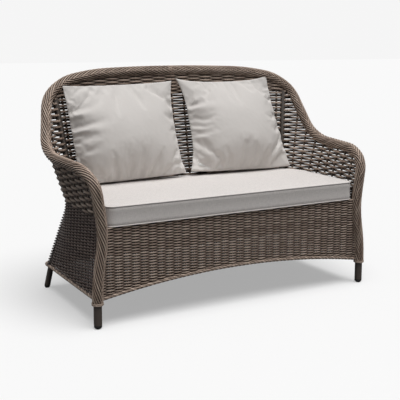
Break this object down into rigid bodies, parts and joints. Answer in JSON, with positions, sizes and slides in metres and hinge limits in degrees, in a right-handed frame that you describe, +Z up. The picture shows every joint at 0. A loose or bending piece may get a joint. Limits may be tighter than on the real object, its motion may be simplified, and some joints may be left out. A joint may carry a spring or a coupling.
{
  "type": "patio loveseat",
  "caption": "Low-armed garden sofa of woven resin wicker on a bent tube frame, with a loose seat cushion and loose back pillows.",
  "frame": {"origin": "on the ground, at the middle of the footprint", "axes": "+Z up; -Y is the front that the seat faces; +X is to the right of someone who looks at the front"},
  "size_m": [1.292, 0.6321, 0.9019],
  "materials": {
    "frame_paint": "satin powder coat, dark brown",
    "bare_aluminium": "mill finish",
    "glide_plastic": "moulded, black",
    "wicker": "extruded resin strand, brown-taupe",
    "wicker_dark": "extruded resin strand in an open weave, brown-taupe",
    "seat_fabric": "plain weave, warm light grey",
    "pillow_fabric": "plain weave, warm light grey",
    "zip_tape": "woven tape",
    "foam": "polyurethane foam",
    "fibre_fill": "polyester fibre"
  },
  "bodies": {
    "frame": {"arm_tube_left": "frame_paint", "arm_tube_right": "frame_paint", "back_rim_tube": "frame_paint", "arm_joint_spigot_left": "bare_aluminium", "arm_joint_spigot_right": "bare_aluminium", "rim_braid": "wicker", "leg_collar_left": "wicker", "leg_collar_right": "wicker", "rear_leg_left": "frame_paint", "rear_leg_right": "frame_paint", "front_foot_glide_left": "glide_plastic", "front_foot_glide_right": "glide_plastic", "rear_foot_glide_left": "glide_plastic", "rear_foot_glide_right": "glide_plastic", "seat_front_rail": "frame_paint", "seat_hoop": "frame_paint", "leg_lug_left": "frame_paint", "leg_lug_right": "frame_paint", "seat_cross_bars": "frame_paint", "front_arch_rail": "frame_paint", "side_bottom_rail_left": "frame_paint", "side_bottom_rail_right": "frame_paint", "rear_bottom_rail": "frame_paint", "front_apron": "wicker", "side_skirt_left": "wicker_dark", "side_skirt_right": "wicker_dark", "rear_skirt": "wicker_dark", "arm_weave_left": "wicker", "arm_weave_right": "wicker", "back_weave": "wicker", "front_border": "wicker", "skirt_border": "wicker", "seat_deck": "wicker"},
    "seat_cushion": {"seat_cushion_cover": "seat_fabric", "seat_cushion_foam": "foam", "seat_cushion_piping": "seat_fabric", "seat_cushion_zip": "zip_tape"},
    "left_pillow": {"pillow_cover_left": "pillow_fabric", "pillow_insert_left": "fibre_fill"},
    "right_pillow": {"pillow_cover_right": "pillow_fabric", "pillow_insert_right": "fibre_fill"}
  },
  "joints": [
    {"name": "seat_cushion_lift", "type": "slide", "parent": "frame", "child": "seat_cushion", "axis": [0, -0.1959, 0.9806], "range_m": [0, 0.2]},
    {"name": "left_pillow_lift", "type": "slide", "parent": "seat_cushion", "child": "left_pillow", "axis": [0, -0.3, 0.9539], "range_m": [0, 0.3]},
    {"name": "right_pillow_lift", "type": "slide", "parent": "seat_cushion", "child": "right_pillow", "axis": [0, -0.3, 0.9539], "range_m": [0, 0.3]}
  ]
}
